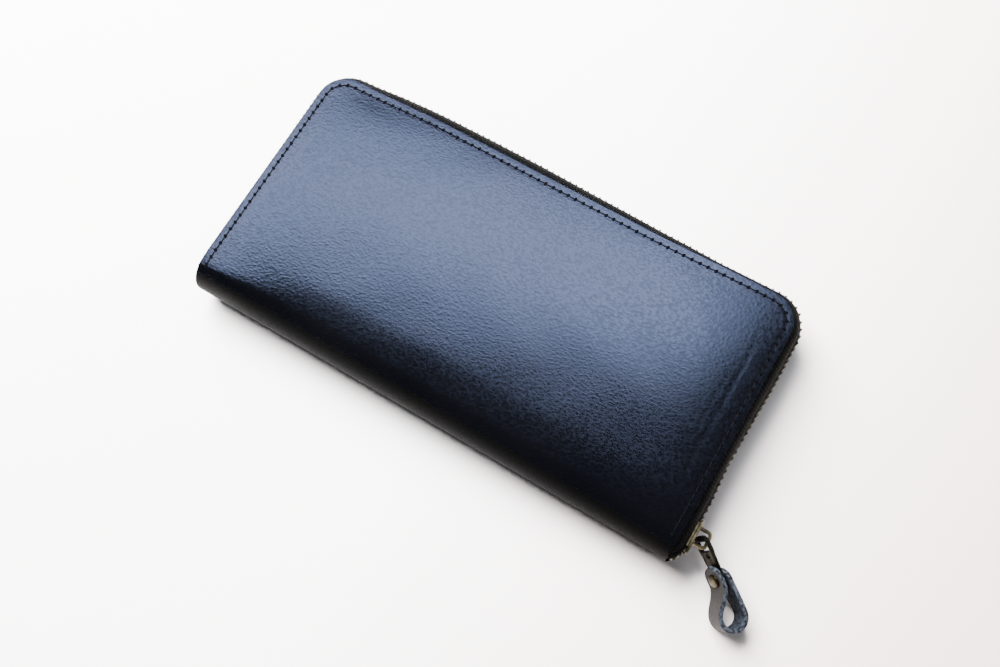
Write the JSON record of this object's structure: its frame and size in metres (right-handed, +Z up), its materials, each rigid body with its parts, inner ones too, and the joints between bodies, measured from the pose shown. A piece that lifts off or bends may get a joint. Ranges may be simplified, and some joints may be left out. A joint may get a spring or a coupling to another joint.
{
  "type": "long wallet",
  "caption": "Zip-around long leather wallet, closed, with a leather loop pull, card pockets, a zipped coin pocket and a folding spine.",
  "frame": {"origin": "the flat face the wallet lies on, under the middle of the cover", "axes": "+X along the spine towards the end where the zip closes, +Y from the spine to the opposite zipped edge, +Z up through the thickness"},
  "size_m": [0.2291, 0.1128, 0.022],
  "materials": {
    "cover_leather": "black pebbled, soft sheen",
    "inner_leather": "thin smooth black",
    "lining": "fine dark twill",
    "seam_thread": "waxed thread",
    "zip_tape": "woven",
    "brass": "antique, dark",
    "coil": "satin",
    "pull_leather": "oiled, suede inside"
  },
  "bodies": {
    "back_half": {"back_cover": "cover_leather", "back_seam_thread": "seam_thread", "back_lining": "lining", "back_zip_tape": "zip_tape", "back_zip_teeth": "brass", "back_card_panel": "inner_leather", "back_card_pocket_1": "inner_leather", "back_card_pocket_2": "inner_leather", "back_card_pocket_3": "inner_leather"},
    "middle": {"spine_cover": "cover_leather", "spine_lining": "lining", "coin_pocket_back_wall": "inner_leather", "coin_pocket_front_wall": "inner_leather", "coin_zip_back_tape": "zip_tape", "coin_zip_front_tape": "zip_tape", "coin_zip_back_coil": "coil", "coin_zip_front_coil": "coil", "left_gusset_back": "inner_leather", "left_gusset_front": "inner_leather", "right_gusset_back": "inner_leather", "right_gusset_front": "inner_leather", "coin_zip_stop": "brass"},
    "front_half": {"front_cover": "cover_leather", "front_seam_thread": "seam_thread", "front_lining": "lining", "front_zip_tape": "zip_tape", "front_zip_teeth": "brass", "front_card_panel": "inner_leather", "front_card_pocket_1": "inner_leather", "front_card_pocket_2": "inner_leather", "front_card_pocket_3": "inner_leather"},
    "zip_slider": {"zip_slider": "brass"},
    "pull_bar": {"pull_bar": "brass"},
    "pull_loop": {"pull_loop": "pull_leather", "pull_rivet": "brass"},
    "coin_slider": {"coin_slider": "brass"},
    "coin_pull": {"coin_pull": "brass"}
  },
  "joints": [
    {"name": "spine_fold", "type": "hinge", "parent": "back_half", "child": "middle", "pos_m": [0, -0.049, 0.011], "axis": [1, 0, 0], "range_deg": [0, 30]},
    {"name": "cover_fold", "type": "hinge", "parent": "middle", "child": "front_half", "pos_m": [0, -0.049, 0.011], "axis": [1, 0, 0], "range_deg": [0, 30]},
    {"name": "zip_travel", "type": "slide", "parent": "back_half", "child": "zip_slider", "axis": [0, 1, 0], "range_m": [0, 0.066]},
    {"name": "pull_swing", "type": "hinge", "parent": "zip_slider", "child": "pull_bar", "pos_m": [0.103, -0.0371, 0.011], "axis": [0, 0, 1], "range_deg": [-40, 115]},
    {"name": "loop_lift", "type": "hinge", "parent": "pull_bar", "child": "pull_loop", "pos_m": [0.11417, -0.04492, 0.00785], "axis": [-0.476, -0.8139, 0.3333], "range_deg": [0, 25]},
    {"name": "coin_zip_travel", "type": "slide", "parent": "middle", "child": "coin_slider", "axis": [-1, 0, 0], "range_m": [0, 0.13]},
    {"name": "coin_pull_swing", "type": "hinge", "parent": "coin_slider", "child": "coin_pull", "pos_m": [0.0665, 0.0334, 0.011], "axis": [0, 0, 1], "range_deg": [0, 180]}
  ],
  "couplings": [
    {"joint": "cover_fold", "follows": "spine_fold", "ratio": 1}
  ]
}
